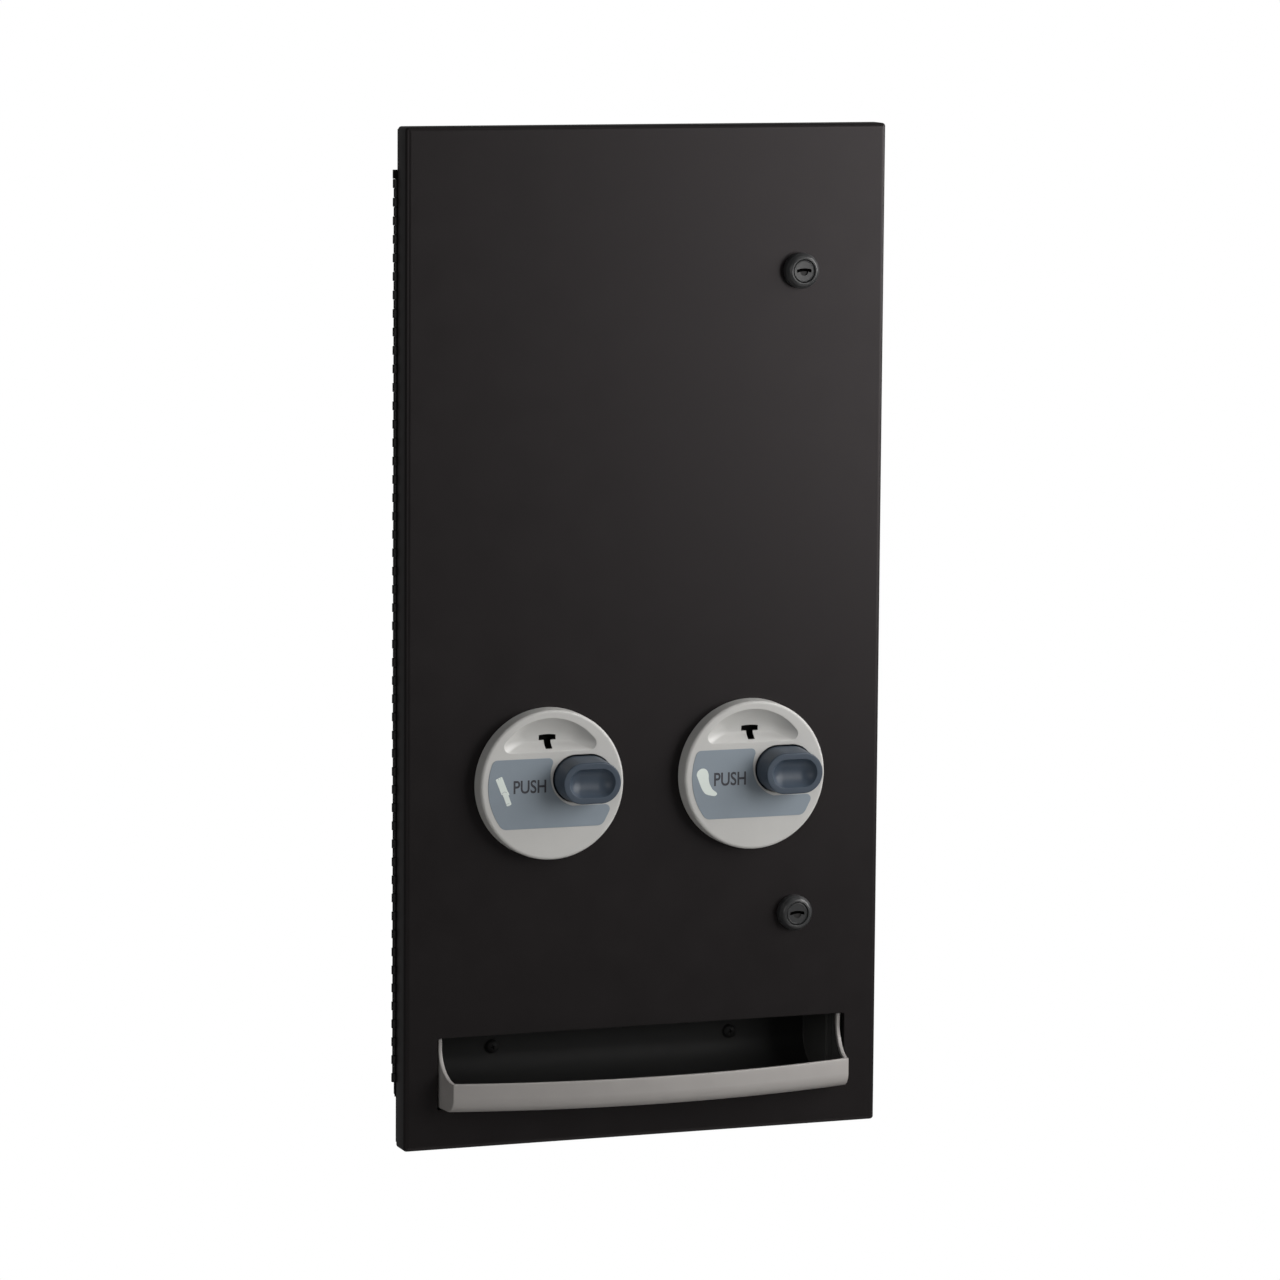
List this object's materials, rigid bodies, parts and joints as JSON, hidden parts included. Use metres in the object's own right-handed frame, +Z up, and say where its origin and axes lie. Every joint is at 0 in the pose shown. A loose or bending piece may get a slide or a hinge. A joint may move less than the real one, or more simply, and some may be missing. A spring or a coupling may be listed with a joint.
{
  "type": "recessed tampon and pad dispenser",
  "caption": "Recessed washroom dispenser: a hinged steel door with push-button dials for tampons and pads, cam locks and a bowed pick-up tray, over a cabinet in the wall.",
  "frame": {"origin": "the middle of the cabinet's back face, where it meets the back of the wall recess", "axes": "+Y into the wall, square to the cabinet's back; +Z up; the door faces -Y and is hinged on its -X edge"},
  "size_m": [0.3551, 0.1683, 0.7106],
  "materials": {
    "black_powder_coat": "matte",
    "hinge_steel": "satin",
    "bezel_grey": "satin",
    "label_slate": "satin",
    "button_slate": "satin",
    "tray_grey": "satin",
    "bin_black": "matte",
    "lock_black": "satin",
    "zinc_steel": "satin",
    "natural_plastic": "satin",
    "rubber_black": "matte"
  },
  "bodies": {
    "cabinet": {"cabinet_box": "black_powder_coat", "mounting_flange": "black_powder_coat", "upper_strike": "zinc_steel", "lower_strike": "zinc_steel", "upper_door_bumper": "rubber_black", "lower_door_bumper": "rubber_black", "hinge_cabinet_leaf": "hinge_steel", "hinge_pin": "hinge_steel"},
    "door": {"hinge_door_leaf": "hinge_steel", "door_panel": "black_powder_coat", "left_bezel": "bezel_grey", "right_bezel": "bezel_grey", "left_label": "label_slate", "right_label": "label_slate", "left_housing": "natural_plastic", "right_housing": "natural_plastic", "left_bezel_screw_1": "zinc_steel", "left_bezel_screw_2": "zinc_steel", "left_bezel_screw_3": "zinc_steel", "right_bezel_screw_1": "zinc_steel", "right_bezel_screw_2": "zinc_steel", "right_bezel_screw_3": "zinc_steel", "left_return_spring": "zinc_steel", "right_return_spring": "zinc_steel", "left_magazine": "zinc_steel", "right_magazine": "zinc_steel", "upper_magazine_bracket": "zinc_steel", "lower_magazine_bracket": "zinc_steel", "tray_front": "tray_grey", "tray_bin": "bin_black", "delivery_chute": "zinc_steel", "left_bin_screw": "lock_black", "right_bin_screw": "lock_black", "upper_lock_body": "lock_black", "lower_lock_body": "lock_black", "upper_lock_nut": "zinc_steel", "lower_lock_nut": "zinc_steel"},
    "left_button_slide": {"left_button": "button_slate", "left_slide_arm": "zinc_steel"},
    "right_button_slide": {"right_button": "button_slate", "right_slide_arm": "zinc_steel"},
    "left_gate_rotor": {"left_gate": "natural_plastic", "left_pinion": "natural_plastic"},
    "right_gate_rotor": {"right_gate": "natural_plastic", "right_pinion": "natural_plastic"},
    "upper_lock_turn": {"upper_lock_plug": "lock_black", "upper_lock_cam": "zinc_steel", "upper_lock_cam_screw": "zinc_steel"},
    "lower_lock_turn": {"lower_lock_plug": "lock_black", "lower_lock_cam": "zinc_steel", "lower_lock_cam_screw": "zinc_steel"}
  },
  "joints": [
    {"name": "door_hinge", "type": "hinge", "parent": "cabinet", "child": "door", "pos_m": [-0.17645, -0.1051, 0], "axis": [0, 0, -1], "range_deg": [0, 95]},
    {"name": "left_button_press", "type": "slide", "parent": "door", "child": "left_button_slide", "axis": [0, 1, 0], "range_m": [0, 0.012], "stiffness_N_per_m": 400, "springref_m": -0.01, "deforming": ["left_return_spring"]},
    {"name": "right_button_press", "type": "slide", "parent": "door", "child": "right_button_slide", "axis": [0, 1, 0], "range_m": [0, 0.012], "stiffness_N_per_m": 400, "springref_m": -0.01, "deforming": ["right_return_spring"]},
    {"name": "left_gate_tilt", "type": "hinge", "parent": "door", "child": "left_gate_rotor", "pos_m": [-0.1312, -0.0777, -0.171], "axis": [-1, 0, 0], "range_deg": [0, 72.5]},
    {"name": "right_gate_tilt", "type": "hinge", "parent": "door", "child": "right_gate_rotor", "pos_m": [0.0252, -0.0777, -0.171], "axis": [-1, 0, 0], "range_deg": [0, 72.5]},
    {"name": "upper_lock_key", "type": "hinge", "parent": "door", "child": "upper_lock_turn", "pos_m": [0.1122, -0.0967, 0.2532], "axis": [0, -1, 0], "range_deg": [0, 90]},
    {"name": "lower_lock_key", "type": "hinge", "parent": "door", "child": "lower_lock_turn", "pos_m": [0.1122, -0.0967, -0.2011], "axis": [0, -1, 0], "range_deg": [0, 90]}
  ],
  "couplings": [
    {"joint": "left_gate_tilt", "follows": "left_button_press", "rad_per_m": 105.26},
    {"joint": "right_gate_tilt", "follows": "right_button_press", "rad_per_m": 105.26}
  ]
}
